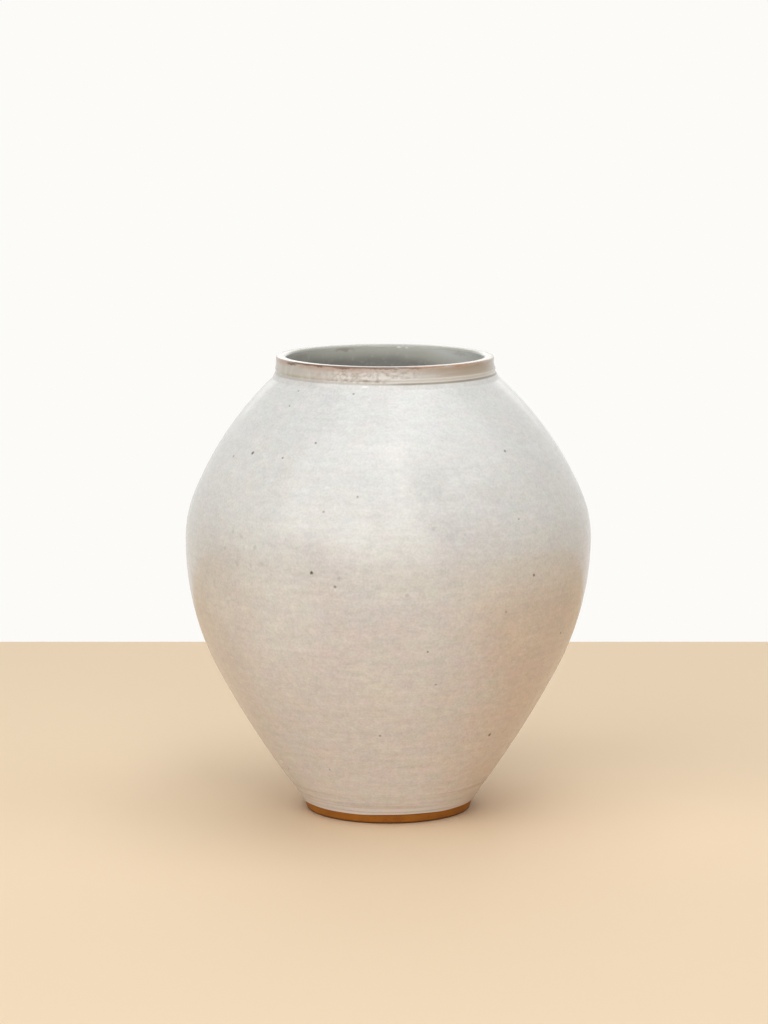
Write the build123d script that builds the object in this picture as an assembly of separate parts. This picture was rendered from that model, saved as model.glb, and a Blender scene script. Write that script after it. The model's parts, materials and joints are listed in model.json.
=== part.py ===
from build123d import *

import os
from dataclasses import dataclass
from math import acos, atan2, degrees, sqrt

# A moon jar in millimetres. It stands on its foot ring at the origin, with +Z up through the mouth.
# Two thrown bowls are luted rim to rim at the belly. A foot ring is luted under the lower bowl and a
# collar on top of the upper one. One coat of glaze covers the outside and another lines the inside.
# Every piece is round, so each is half of a cross-section, drawn as radius and height, turned about Z.

# The finished jar, measured over the glaze
jar_height = 174.0
belly_diameter = 154.0
belly_height = 104.5
mouth_diameter = 74.8

# Walls, coats and joints
wall_thickness = 4.2
glaze_thickness = 0.5
slip_thickness = 0.5
belly_key_depth = 1.2
belly_key_width = 2.4

# Upper bowl. The belly curves tighter, and the shoulder flatter, than one plain arc from belly to neck.
upper_belly_tightening = 0.374
shoulder_flattening = 0.742
neck_cove_radius = 2.7
mouth_rounding = 2.5

# Collar, measured over the glaze, apart from the rounding of its base, which is in the clay
collar_height = 6.1
collar_base_thickness = 4.2
collar_base_rounding = 0.25
collar_groove_depth = 0.2
lip_thickness = 3.7
lip_crown_radius = 8.0
lip_outer_rounding = 0.7
lip_inner_rounding = 1.2

# Lower bowl, shaped like the upper one, with a longer and flatter wall down to the foot.
# The lean is in degrees from upright, at the lower edge of the glaze.
lower_belly_tightening = 0.164
lower_wall_flattening = 2.0
foot_cove_radius = 100.0
foot_wall_lean = 31.3
floor_thickness = 6.5
floor_rounding = 12.0

# Foot ring. Its bare band spreads from the table up to the lower edge of the glaze.
foot_diameter = 62.4
foot_band_height = 3.7
foot_band_spread = 1.8
foot_ring_height = 5.2
foot_ring_width = 6.5
foot_edge_rounding = 0.6

# Worked out from the sizes above
belly_radius = belly_diameter / 2
mouth_radius = mouth_diameter / 2
foot_radius = foot_diameter / 2
foot_inner_radius = foot_radius - foot_ring_width
finished_wall = wall_thickness + 2 * glaze_thickness
collar_base_radius = mouth_radius + collar_base_thickness
groove_radius = collar_base_radius - collar_groove_depth
groove_height = jar_height - collar_height
lip_crown = Vector(mouth_radius + lip_thickness / 2, jar_height - lip_crown_radius)
underside_height = foot_ring_height + slip_thickness
floor_height = underside_height + floor_thickness + glaze_thickness

# Ends of bends closer than this meet with no straight run between them
touching = 1e-6


@dataclass
class Bend:
    """A round stretch of the finished surface, with the clay on the inside or the outside of its arc."""

    centre: Vector
    radius: float
    start: float
    end: float
    clay_inside: bool = True

    def arc(self, depth):
        """The arc at a depth below the finished surface."""
        radius = self.radius - depth if self.clay_inside else self.radius + depth
        return CenterArc(self.centre, radius, self.start, self.end - self.start)

    def backwards(self):
        """The same bend followed the other way."""
        return Bend(self.centre, self.radius, self.end, self.start, self.clay_inside)

    def lining(self, start, end):
        """The bend on the inside of the wall that runs beside this one."""
        return Bend(self.centre, self.radius - finished_wall, start, end, clay_inside=False)


def polar(length, angle):
    """A vector of a length, turned from the radius by an angle in degrees."""
    return Vector(length, 0).rotate(Axis.Z, angle)


def heading(start, end):
    """The angle in degrees of the way from one point to another, from 0 to 360."""
    return degrees(atan2(end.Y - start.Y, end.X - start.X)) % 360


def bowl_wall(cove, cove_radius, wall_end, tightening, flattening):
    """Belly, wall and cove of one bowl as tangent bends, from the belly to the end of the wall.

    The belly starts upright. The cove is the hollow bend about a given centre at the neck or the foot.
    Tightening and flattening are shares of the one plain arc that would join the belly to the cove.
    """
    side = 1 if cove.Y > belly_height else -1
    level = 0 if side > 0 else 360
    beyond = cove.X - belly_radius
    rise = cove.Y - belly_height
    plain_arc = (beyond**2 + rise**2 - cove_radius**2) / (2 * (cove_radius - beyond))
    belly_arc = plain_arc * (1 - tightening)
    wall_arc = plain_arc * (1 + flattening)
    belly = Vector(belly_radius - belly_arc, belly_height)

    # The centres of tangent bends make a triangle whose sides are sums and differences of the radii
    near = wall_arc - belly_arc
    far = wall_arc + cove_radius
    across = (cove - belly).length
    corner = degrees(acos((near**2 + across**2 - far**2) / (2 * near * across)))
    wall = belly + polar(near, heading(belly, cove) + side * corner)
    return [
        Bend(belly, belly_arc, level, heading(wall, belly)),
        Bend(wall, wall_arc, heading(wall, belly), heading(wall, cove)),
        Bend(cove, cove_radius, heading(cove, wall), wall_end, clay_inside=False),
    ]


def lip_edge(rounding, side):
    """The centre of a rounded edge of the lip, which is the outer one for side 1 and the inner for -1."""
    reach = lip_thickness / 2 - rounding
    return lip_crown + Vector(side * reach, sqrt((lip_crown_radius - rounding) ** 2 - reach**2))


def upper_bends():
    """The outside of the jar from the belly over the shoulder and the collar to the crest of the lip."""
    base_radius = collar_base_rounding + glaze_thickness
    cove = Vector(groove_radius + neck_cove_radius, groove_height)
    base_reach = cove.X - (collar_base_radius - base_radius)
    base_rise = sqrt((neck_cove_radius + base_radius) ** 2 - base_reach**2)
    base = cove + Vector(-base_reach, base_rise)
    edge = lip_edge(lip_outer_rounding, 1)
    taper = degrees(acos((base_radius - lip_outer_rounding) / (edge - base).length))
    collar_wall = heading(base, edge) - taper
    crown_start = heading(lip_crown, edge)
    shoulder = bowl_wall(
        cove, neck_cove_radius, heading(cove, base), upper_belly_tightening, shoulder_flattening
    )
    return shoulder + [
        Bend(base, base_radius, heading(base, cove) - 360, collar_wall),
        Bend(edge, lip_outer_rounding, collar_wall, crown_start),
        Bend(lip_crown, lip_crown_radius, crown_start, 90),
    ]


def lower_bends():
    """The outside of the lower bowl from the belly down to the lower edge of the glaze."""
    glaze_line = Vector(foot_radius + foot_band_spread, foot_band_height)
    cove = glaze_line + polar(foot_cove_radius, -foot_wall_lean)
    return bowl_wall(
        cove, foot_cove_radius, 180 - foot_wall_lean, lower_belly_tightening, lower_wall_flattening
    )


def inside_bends(upper, lower):
    """The inside of the jar from the crest of the lip through the mouth to the edge of the floor."""
    upper_belly, shoulder = upper[:2]
    lower_belly, lower_wall = lower[:2]
    edge = lip_edge(lip_inner_rounding, -1)
    crown_end = heading(lip_crown, edge)
    mouth_bend = mouth_rounding + glaze_thickness
    mouth_reach = mouth_radius + mouth_bend - shoulder.centre.X
    mouth_away = shoulder.radius - finished_wall + mouth_bend
    mouth = shoulder.centre + Vector(mouth_reach, sqrt(mouth_away**2 - mouth_reach**2))
    floor_drop = lower_wall.centre.Y - (floor_height + floor_rounding)
    floor_away = lower_wall.radius - finished_wall - floor_rounding
    floor = lower_wall.centre + Vector(sqrt(floor_away**2 - floor_drop**2), -floor_drop)
    floor_edge = heading(lower_wall.centre, floor)
    return [
        Bend(lip_crown, lip_crown_radius, 90, crown_end),
        Bend(edge, lip_inner_rounding, crown_end, 180),
        Bend(mouth, mouth_bend, 180, heading(mouth, shoulder.centre)),
        shoulder.lining(heading(shoulder.centre, mouth), shoulder.start),
        upper_belly.lining(upper_belly.end, upper_belly.start),
        lower_belly.lining(lower_belly.start, lower_belly.end),
        lower_wall.lining(lower_wall.start, floor_edge),
        Bend(floor, floor_rounding, floor_edge, 270, clay_inside=False),
    ]


def trace(bends, depth):
    """The line along some bends at a depth below the finished surface, straight where they stand apart."""
    arcs = [bend.arc(depth) for bend in bends]
    line = [arcs[0]]
    for before, after in zip(arcs, arcs[1:]):
        if (after @ 0 - before @ 1).length > touching:
            line.append(Line(before @ 1, after @ 0))
        line.append(after)
    return Wire(line)


def level_to_axis(line):
    """A level line from the end of another to the axis of the jar."""
    return Line(line @ 1, (0, (line @ 1).Y))


def glaze_section(bends, over_floor):
    """A coat of glaze over some bends, and over the floor beyond them if it has one."""
    face = trace(bends, 0)
    back = trace(bends, glaze_thickness)
    edges = [face, back, Line(face @ 0, back @ 0)]
    if not over_floor:
        return make_face(edges + [Line(face @ 1, back @ 1)])
    face_floor = level_to_axis(face)
    back_floor = level_to_axis(back)
    return make_face(edges + [face_floor, back_floor, Line(face_floor @ 1, back_floor @ 1)])


def clay_section(outside, inside):
    """All the clay under the glaze, with the foot ring, before it is parted at the joints."""
    outer = trace(outside, glaze_thickness)
    inner = trace(inside, glaze_thickness)
    floor = level_to_axis(inner)
    under = Polyline(
        floor @ 1,
        (0, underside_height),
        (foot_inner_radius, underside_height),
        (foot_inner_radius, 0),
        (foot_radius, 0),
        outer @ 0,
    )
    return make_face([outer, inner, floor, under])


def slip_bed(height, key_radius=None):
    """A bed of slip across the section from a height up, flat or dipping in a V at one radius."""
    lower = [(0, height), (belly_diameter, height)]
    if key_radius:
        lower[1:1] = [
            (key_radius - belly_key_width / 2, height),
            (key_radius, height - belly_key_depth),
            (key_radius + belly_key_width / 2, height),
        ]
    upper = [(radius, level + slip_thickness) for radius, level in reversed(lower)]
    return make_face(Polyline(lower + upper, close=True))


def sections():
    """The half cross-section of each piece by its name."""
    upper = upper_bends()
    lower = lower_bends()
    outside = [bend.backwards() for bend in reversed(lower)] + upper
    inside = inside_bends(upper, lower)
    clay = clay_section(outside, inside)
    foot_bed = slip_bed(foot_ring_height)
    belly_bed = slip_bed(belly_height - slip_thickness / 2, belly_radius - finished_wall / 2)
    collar_bed = slip_bed(groove_height - slip_thickness / 2)
    parted = clay - foot_bed - belly_bed - collar_bed
    foot_ring, lower_bowl, upper_bowl, neck_collar = parted.faces().sort_by(Axis.Y)
    foot_edges = foot_ring.vertices().group_by(Axis.Y)[0]
    return {
        "foot_ring": foot_ring.fillet_2d(foot_edge_rounding, foot_edges),
        "foot_slip": clay & foot_bed,
        "lower_bowl": lower_bowl,
        "belly_slip": clay & belly_bed,
        "upper_bowl": upper_bowl,
        "collar_slip": clay & collar_bed,
        "neck_collar": neck_collar,
        "outer_glaze": glaze_section(outside, over_floor=False),
        "inner_glaze": glaze_section(inside, over_floor=True),
    }


os.makedirs("parts", exist_ok=True)
for name, section in sections().items():
    piece = revolve(Plane.XZ * section, Axis.Z)
    piece.label = name
    export_step(piece, f"parts/{name}.step")
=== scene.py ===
"""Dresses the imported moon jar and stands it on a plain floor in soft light.

Sizes are in millimetres over the finished surface, and become metres where a mesh, lamp or camera takes
them. +Z is up through the mouth and the side that faces the viewer is -Y. An azimuth goes round the jar
from that side towards +X.
"""

import json
import logging
import math
import random
from collections.abc import Sequence
from dataclasses import dataclass
from enum import Enum

import bmesh
import bpy
import numpy as np
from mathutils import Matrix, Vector


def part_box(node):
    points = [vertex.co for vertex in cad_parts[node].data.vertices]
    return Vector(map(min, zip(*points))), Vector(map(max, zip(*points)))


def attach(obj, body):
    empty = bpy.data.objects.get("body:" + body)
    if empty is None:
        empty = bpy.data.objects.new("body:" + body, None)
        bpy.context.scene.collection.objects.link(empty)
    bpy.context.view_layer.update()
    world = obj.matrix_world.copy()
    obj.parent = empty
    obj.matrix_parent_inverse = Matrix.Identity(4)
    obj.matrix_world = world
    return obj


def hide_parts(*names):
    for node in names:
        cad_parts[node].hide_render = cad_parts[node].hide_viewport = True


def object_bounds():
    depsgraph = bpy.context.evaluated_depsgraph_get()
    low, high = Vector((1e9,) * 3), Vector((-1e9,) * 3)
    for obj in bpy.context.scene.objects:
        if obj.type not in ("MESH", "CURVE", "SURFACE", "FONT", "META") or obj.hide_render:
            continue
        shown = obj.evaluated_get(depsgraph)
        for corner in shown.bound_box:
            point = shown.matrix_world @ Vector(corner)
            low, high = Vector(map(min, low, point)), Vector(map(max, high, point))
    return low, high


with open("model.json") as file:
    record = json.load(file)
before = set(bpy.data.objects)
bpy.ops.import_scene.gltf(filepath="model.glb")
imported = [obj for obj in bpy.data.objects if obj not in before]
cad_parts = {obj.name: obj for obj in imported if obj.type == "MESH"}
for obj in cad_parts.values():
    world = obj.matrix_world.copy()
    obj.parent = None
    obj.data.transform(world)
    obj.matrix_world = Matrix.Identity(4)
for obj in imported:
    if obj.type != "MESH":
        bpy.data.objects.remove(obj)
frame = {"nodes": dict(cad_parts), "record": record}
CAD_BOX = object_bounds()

LOG = logging.getLogger("moon_jar")
MM = 0.001
BODY = "root"

Numbers = np.ndarray
Colour = tuple[int, int, int]
Socket = bpy.types.NodeSocket


class Slot(Enum):
    """The record's material slots."""

    BARE_CLAY = "bare_clay"
    CLAY_SLIP = "clay_slip"
    WHITE_GLAZE = "white_glaze"
    LINING_GLAZE = "lining_glaze"


# The half section, as radius and height


def polar(length: float, angle: float) -> Vector:
    """A step of a length at an angle in degrees from the radius."""
    return Vector((math.cos(math.radians(angle)), math.sin(math.radians(angle)))) * length


def heading(start: Vector, end: Vector) -> float:
    """The angle in degrees of the way from one point to another, from 0 to 360."""
    return math.degrees(math.atan2(end.y - start.y, end.x - start.x)) % 360


def ease(share: Numbers) -> Numbers:
    """A smooth step from 0 to 1 as the share goes from 0 to 1."""
    held = np.clip(share, 0, 1)
    return held * held * (3 - 2 * held)


@dataclass(frozen=True)
class Bend:
    """A round stretch of the finished surface, with the clay on the inside or the outside of its arc."""

    centre: Vector
    radius: float
    start: float
    end: float
    clay_inside: bool = True

    def backwards(self) -> "Bend":
        """The same bend followed the other way."""
        return Bend(self.centre, self.radius, self.end, self.start, self.clay_inside)

    def lining(self, wall: float, start: float, end: float) -> "Bend":
        """The bend on the inside of a wall that runs beside this one."""
        return Bend(self.centre, self.radius - wall, start, end, clay_inside=False)

    def points(self, depth: float, spacing: float) -> Numbers:
        """Points along the bend at a depth below the finished surface.

        Args:
            depth: How far under the finished surface the points lie.
            spacing: The longest step between two points.

        Returns:
            One row a point: its radius and height, then the way out of the clay.
        """
        side = 1 if self.clay_inside else -1
        reach = self.radius - side * depth
        turn = math.radians(abs(self.end - self.start))
        count = max(3, math.ceil(turn * reach / spacing) + 1)
        angles = np.radians(np.linspace(self.start, self.end, count))
        way = np.stack([np.cos(angles), np.sin(angles)], axis=1)
        return np.hstack([np.array(self.centre) + way * reach, way * side])


@dataclass(frozen=True)
class Outline:
    """A line in the half section: rows of radius and height, then the way out of the clay."""

    points: Numbers

    @property
    def along(self) -> Numbers:
        """The distance of each point from the start of the line."""
        steps = np.hypot(*np.diff(self.points[:, :2], axis=0).T)
        return np.concatenate([[0], np.cumsum(steps)])

    def at(self, distances: Numbers) -> "Outline":
        """The outline at chosen distances from its start."""
        along = self.along
        return Outline(np.stack([np.interp(distances, along, part) for part in self.points.T], axis=1))

    def backwards(self) -> "Outline":
        """The same line followed the other way."""
        return Outline(self.points[::-1])

    def between(self, low: float, high: float) -> "Outline":
        """The stretch of a rising line from one height to another, ends included.

        Args:
            low: The height at which the stretch starts.
            high: The height at which it ends.

        Returns:
            The stretch.
        """
        along = self.along
        ends = np.interp([low, high], self.points[:, 1], along)
        inside = along[(along > ends[0]) & (along < ends[1])]
        return self.at(np.concatenate([ends[:1], inside, ends[1:]]))

    def up_to(self, height: float) -> "Outline":
        """The stretch of a rising line from its start to a height.

        Args:
            height: The height at which the stretch ends.

        Returns:
            The stretch.
        """
        along = self.along
        end = np.interp(height, self.points[:, 1], along)
        return self.at(np.append(along[along < end], end))

    def distance_at(self, height: float) -> float:
        """How far along a rising line a height is reached."""
        return float(np.interp(height, self.points[:, 1], self.along))


@dataclass(frozen=True)
class FineStretch:
    """A stretch of an outline whose rows lie closer together."""

    middle: float
    half_width: float
    spacing: float


def row_places(length: float, spacing: float, fine: Sequence[FineStretch]) -> Numbers:
    """Distances along an outline at which a turned mesh has its rows.

    Args:
        length: The length of the outline.
        spacing: The usual step between rows.
        fine: Stretches with a smaller step, which widens again beyond them.

    Returns:
        The distances, from 0 to the length.
    """
    widening = 0.35
    places = [0.0]
    while places[-1] < length:
        here = places[-1]
        steps = [spacing]
        for stretch in fine:
            beyond = max(0.0, abs(here - stretch.middle) - stretch.half_width)
            steps.append(stretch.spacing + widening * beyond)
        places.append(here + min(steps))
    return np.array(places) * (length / places[-1])


def mount_radius(name: str) -> float:
    """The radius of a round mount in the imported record."""
    return next(mount["dims"]["r_mm"] for mount in frame["record"]["mounts"] if mount["name"] == name)


@dataclass(frozen=True)
class JarForm:
    """The true turned form of the jar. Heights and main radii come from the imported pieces."""

    jar_height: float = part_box("outer_glaze")[1].z / MM
    belly_radius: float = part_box("outer_glaze")[1].x / MM
    mouth_radius: float = mount_radius("mouth")
    foot_ring_height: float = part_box("foot_ring")[1].z / MM
    underside_height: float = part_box("lower_bowl")[0].z / MM
    wall_thickness: float = 4.2
    glaze_thickness: float = 0.5
    slip_thickness: float = 0.5
    upper_belly_tightening: float = 0.374
    shoulder_flattening: float = 0.742
    neck_cove_radius: float = 2.7
    mouth_rounding: float = 2.5
    collar_base_thickness: float = 4.2
    collar_base_rounding: float = 0.25
    collar_groove_depth: float = 0.2
    lip_thickness: float = 3.7
    lip_crown_radius: float = 8.0
    lip_outer_rounding: float = 0.7
    lip_inner_rounding: float = 1.2
    lower_belly_tightening: float = 0.164
    lower_wall_flattening: float = 2.0
    foot_cove_radius: float = 100.0
    foot_wall_lean: float = 31.3
    floor_rounding: float = 12.0
    foot_radius: float = 31.2
    foot_band_height: float = 3.7
    foot_band_spread: float = 1.8
    foot_ring_width: float = 6.5
    foot_edge_rounding: float = 0.6
    trace_spacing: float = 0.04

    @property
    def belly_height(self) -> float:
        """The height of the joint between the bowls, in the middle of its bed of slip."""
        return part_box("belly_slip")[1].z / MM - self.slip_thickness / 2

    @property
    def groove_height(self) -> float:
        """The height of the groove under the collar, in the middle of its bed of slip."""
        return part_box("collar_slip")[1].z / MM - self.slip_thickness / 2

    @property
    def floor_height(self) -> float:
        """The height of the finished floor inside."""
        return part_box("inner_glaze")[0].z / MM + self.glaze_thickness

    @property
    def finished_wall(self) -> float:
        """The wall with both coats of glaze."""
        return self.wall_thickness + 2 * self.glaze_thickness

    @property
    def foot_inner_radius(self) -> float:
        """The radius of the recess inside the foot ring."""
        return self.foot_radius - self.foot_ring_width

    @property
    def lip_crown(self) -> Vector:
        """The centre of the gentle curve along the top of the lip."""
        return Vector((self.mouth_radius + self.lip_thickness / 2, self.jar_height - self.lip_crown_radius))

    def lip_edge(self, rounding: float, side: int) -> Vector:
        """The centre of a rounded edge of the lip.

        Args:
            rounding: The radius of the edge.
            side: 1 for the outer edge and -1 for the inner one.

        Returns:
            The centre, as radius and height.
        """
        reach = self.lip_thickness / 2 - rounding
        rise = math.sqrt((self.lip_crown_radius - rounding) ** 2 - reach**2)
        return self.lip_crown + Vector((side * reach, rise))

    def bowl_wall(
        self, cove: Vector, cove_radius: float, wall_end: float, tightening: float, flattening: float
    ) -> list[Bend]:
        """Belly, wall and cove of one bowl as tangent bends, from the belly to the end of the wall.

        Args:
            cove: The centre of the hollow bend at the neck or the foot.
            cove_radius: The radius of that bend.
            wall_end: The angle in degrees at which it ends.
            tightening: How much tighter than one plain arc the belly curves, as a share.
            flattening: How much flatter than that arc the wall curves, as a share.

        Returns:
            The three bends in order.
        """
        side = 1 if cove.y > self.belly_height else -1
        level = 0 if side > 0 else 360
        beyond = cove.x - self.belly_radius
        rise = cove.y - self.belly_height
        plain_arc = (beyond**2 + rise**2 - cove_radius**2) / (2 * (cove_radius - beyond))
        belly_arc = plain_arc * (1 - tightening)
        wall_arc = plain_arc * (1 + flattening)
        belly = Vector((self.belly_radius - belly_arc, self.belly_height))
        near = wall_arc - belly_arc
        far = wall_arc + cove_radius
        across = (cove - belly).length
        corner = math.degrees(math.acos((near**2 + across**2 - far**2) / (2 * near * across)))
        wall = belly + polar(near, heading(belly, cove) + side * corner)
        return [
            Bend(belly, belly_arc, level, heading(wall, belly)),
            Bend(wall, wall_arc, heading(wall, belly), heading(wall, cove)),
            Bend(cove, cove_radius, heading(cove, wall), wall_end, clay_inside=False),
        ]

    def upper_bends(self) -> list[Bend]:
        """The outside from the belly over the shoulder and the collar to the crest of the lip.

        Returns:
            Tangent bends in that order.
        """
        base_radius = self.collar_base_rounding + self.glaze_thickness
        base_reach = self.mouth_radius + self.collar_base_thickness
        cove = Vector((base_reach - self.collar_groove_depth + self.neck_cove_radius, self.groove_height))
        across = cove.x - (base_reach - base_radius)
        base = cove + Vector((-across, math.sqrt((self.neck_cove_radius + base_radius) ** 2 - across**2)))
        edge = self.lip_edge(self.lip_outer_rounding, 1)
        taper = math.degrees(math.acos((base_radius - self.lip_outer_rounding) / (edge - base).length))
        collar_wall = heading(base, edge) - taper
        crown_start = heading(self.lip_crown, edge)
        shoulder = self.bowl_wall(
            cove,
            self.neck_cove_radius,
            heading(cove, base),
            self.upper_belly_tightening,
            self.shoulder_flattening,
        )
        return shoulder + [
            Bend(base, base_radius, heading(base, cove) - 360, collar_wall),
            Bend(edge, self.lip_outer_rounding, collar_wall, crown_start),
            Bend(self.lip_crown, self.lip_crown_radius, crown_start, 90),
        ]

    def lower_bends(self) -> list[Bend]:
        """The outside of the lower bowl from the belly down to the lower edge of the glaze."""
        glaze_line = Vector((self.foot_radius + self.foot_band_spread, self.foot_band_height))
        return self.bowl_wall(
            glaze_line + polar(self.foot_cove_radius, -self.foot_wall_lean),
            self.foot_cove_radius,
            180 - self.foot_wall_lean,
            self.lower_belly_tightening,
            self.lower_wall_flattening,
        )

    def inside_bends(self) -> list[Bend]:
        """The inside from the crest of the lip through the mouth to the edge of the floor.

        Returns:
            Bends in that order, with straight runs between those that stand apart.
        """
        upper_belly, shoulder = self.upper_bends()[:2]
        lower_belly, lower_wall = self.lower_bends()[:2]
        edge = self.lip_edge(self.lip_inner_rounding, -1)
        crown_end = heading(self.lip_crown, edge)
        wall = self.finished_wall
        mouth_bend = self.mouth_rounding + self.glaze_thickness
        reach = self.mouth_radius + mouth_bend - shoulder.centre.x
        away = shoulder.radius - wall + mouth_bend
        mouth = shoulder.centre + Vector((reach, math.sqrt(away**2 - reach**2)))
        drop = lower_wall.centre.y - (self.floor_height + self.floor_rounding)
        away = lower_wall.radius - wall - self.floor_rounding
        floor = lower_wall.centre + Vector((math.sqrt(away**2 - drop**2), -drop))
        floor_edge = heading(lower_wall.centre, floor)
        return [
            Bend(self.lip_crown, self.lip_crown_radius, 90, crown_end),
            Bend(edge, self.lip_inner_rounding, crown_end, 180),
            Bend(mouth, mouth_bend, 180, heading(mouth, shoulder.centre)),
            shoulder.lining(wall, heading(shoulder.centre, mouth), shoulder.start),
            upper_belly.lining(wall, upper_belly.end, upper_belly.start),
            lower_belly.lining(wall, lower_belly.start, lower_belly.end),
            lower_wall.lining(wall, lower_wall.start, floor_edge),
            Bend(floor, self.floor_rounding, floor_edge, 270, clay_inside=False),
        ]

    def trace(self, bends: Sequence[Bend], depth: float) -> Outline:
        """The line along some bends at a depth, straight where they stand apart."""
        return Outline(np.vstack([bend.points(depth, self.trace_spacing) for bend in bends]))

    def outside(self, depth: float = 0.0) -> Outline:
        """The outside of the jar from the lower edge of the glaze up to the crest of the lip."""
        lower = [bend.backwards() for bend in reversed(self.lower_bends())]
        return self.trace(lower + self.upper_bends(), depth)

    def inside(self, depth: float = 0.0) -> Outline:
        """The inside of the jar from the crest of the lip down to the middle of the floor.

        Args:
            depth: How far under the finished surface the line lies.

        Returns:
            The line.
        """
        wall = self.trace(self.inside_bends(), depth)
        middle = [[0.0, wall.points[-1, 1], 0.0, 1.0]]
        return Outline(np.vstack([wall.points, middle]))

    def radii_at(self, heights: Sequence[float]) -> Numbers:
        """The finished outside radii at some heights."""
        points = self.outside().points
        return np.interp(heights, points[:, 1], points[:, 0])


@dataclass(frozen=True)
class Wave:
    """A wave round the jar: its size, how many times it comes round, and its start in radians."""

    size: float
    count: int
    start: float

    def at(self, azimuth: Numbers) -> Numbers:
        """The wave at angles round the jar in radians."""
        return self.size * np.sin(self.count * azimuth + self.start)


@dataclass(frozen=True)
class HandThrow:
    """How the thrown jar strays from its true form, alike in every piece of it."""

    form: JarForm
    lip_lean: float = 1.3
    wall_bow: float = 0.38
    out_of_round: float = 0.3
    narrow_azimuth: float = 5.0
    lip_dip: float = 0.22
    lip_waves: tuple[Wave, ...] = (Wave(0.3, 1, 0.6), Wave(0.2, 3, 2.0))

    def drift(self, height: Numbers) -> Numbers:
        """How far towards +X the middle of the jar lies.

        Args:
            height: Heights above the floor.

        Returns:
            A distance for each height.
        """
        belly = self.form.belly_height
        above = np.clip((height - belly) / (self.form.jar_height - belly), 0, 1)
        below = np.clip(height / belly, 0, 1)
        return -self.lip_lean * above**2 - self.wall_bow * np.sin(math.pi * below)

    def place(self, radius: Numbers, height: Numbers, azimuth: Numbers) -> Numbers:
        """Points of the true form moved to where the thrown jar has them.

        Args:
            radius: Distances from the true axis.
            height: Heights above the floor.
            azimuth: Angles round the jar in radians.

        Returns:
            The points, with X, Y and Z along the last axis.
        """
        narrow = 0.5 + 0.5 * np.cos(2 * (azimuth - math.radians(self.narrow_azimuth)))
        held = radius * (1 - self.out_of_round / self.form.belly_radius * narrow)
        collar = ease((height - self.form.groove_height) / (self.form.jar_height - self.form.groove_height))
        wave = sum((part.at(azimuth) for part in self.lip_waves), start=0.5)
        x = held * np.sin(azimuth) + self.drift(height)
        y = -held * np.cos(azimuth)
        z = height - self.lip_dip * wave * collar
        return np.stack(np.broadcast_arrays(x, y, z), axis=-1)

    def spot(self, azimuth: float, height: float, radius: float) -> Vector:
        """A point in metres by its azimuth in degrees, its height and its radius."""
        place = self.place(np.array(radius), np.array(height), np.array(math.radians(azimuth)))
        return Vector(place) * MM


@dataclass(frozen=True)
class ThrowingRings:
    """Rings that a hand or a tool leaves as it winds up the wall, as a depth below the true surface."""

    seed: int
    shortest: float
    longest: float
    steepness: float
    count: int = 7
    windings: tuple[int, ...] = (-1, 1, 1, 2)
    sway_sizes: tuple[float, float] = (0.2, 0.7)
    sway_counts: tuple[int, ...] = (1, 2, 3)

    def depth(self, along: Numbers, azimuth: Numbers) -> Numbers:
        """The depth of the rings, never less than 0.

        Args:
            along: Distances along the wall.
            azimuth: Angles round the jar in radians.

        Returns:
            One depth for each pair of the two.
        """
        draw = random.Random(self.seed)
        total = np.zeros(np.broadcast(along, azimuth).shape)
        for _ in range(self.count):
            wave = draw.uniform(self.shortest, self.longest)
            winding = draw.choice(self.windings)
            phase = draw.uniform(0, 2 * math.pi)
            sway = draw.uniform(*self.sway_sizes) * np.sin(azimuth * draw.choice(self.sway_counts) + phase)
            size = math.tan(math.radians(self.steepness)) * wave / (2 * math.pi * math.sqrt(self.count))
            total += size * (1 + np.sin(2 * math.pi * along / wave + winding * azimuth + sway + phase))
        return total


# Meshes


def turned_object(name: str, rows: Numbers) -> bpy.types.Object:
    """A closed mesh turned from a closed half section.

    Args:
        name: The name of the piece.
        rows: Points in millimetres, one row of the section after another, each row once round the jar.

    Returns:
        The new object, in the scene.
    """
    count, around = rows.shape[:2]
    row, step = np.meshgrid(np.arange(count), np.arange(around), indexing="ij")
    after = (row + 1) % count
    ahead = (step + 1) % around
    corners = [row * around + step, row * around + ahead, after * around + ahead, after * around + step]
    faces = np.stack([corner.ravel() for corner in corners], axis=1)
    mesh = bpy.data.meshes.new(name)
    mesh.from_pydata((rows.reshape(-1, 3) * MM).tolist(), [], faces.tolist())
    return finished_object(name, mesh)


def finished_object(name: str, mesh: bpy.types.Mesh) -> bpy.types.Object:
    """An object for a closed mesh, merged where its points meet and smooth apart from its corners.

    Args:
        name: The name of the piece.
        mesh: Its mesh, in metres.

    Returns:
        The new object, in the scene.
    """
    merging = 1e-7
    corner = math.radians(38)
    work = bmesh.new()
    work.from_mesh(mesh)
    bmesh.ops.remove_doubles(work, verts=work.verts, dist=merging)
    loose = [edge for edge in work.edges if not edge.link_faces]
    bmesh.ops.delete(work, geom=loose, context="EDGES")
    bmesh.ops.recalc_face_normals(work, faces=work.faces)
    work.to_mesh(mesh)
    work.free()
    mesh.polygons.foreach_set("use_smooth", [True] * len(mesh.polygons))
    mesh.set_sharp_from_angle(angle=corner)
    piece = bpy.data.objects.new(name, mesh)
    bpy.context.scene.collection.objects.link(piece)
    return piece


def seat(piece: bpy.types.Object, node: str, finish: bpy.types.Material) -> None:
    """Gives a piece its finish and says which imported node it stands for.

    Args:
        piece: The object.
        node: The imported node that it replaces.
        finish: Its material.
    """
    piece.data.materials.clear()
    piece.data.materials.append(finish)
    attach(piece, BODY)
    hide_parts(node)
    LOG.info("%s stands for %s: %d faces", piece.name, node, len(piece.data.polygons))


# Finishes


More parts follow.
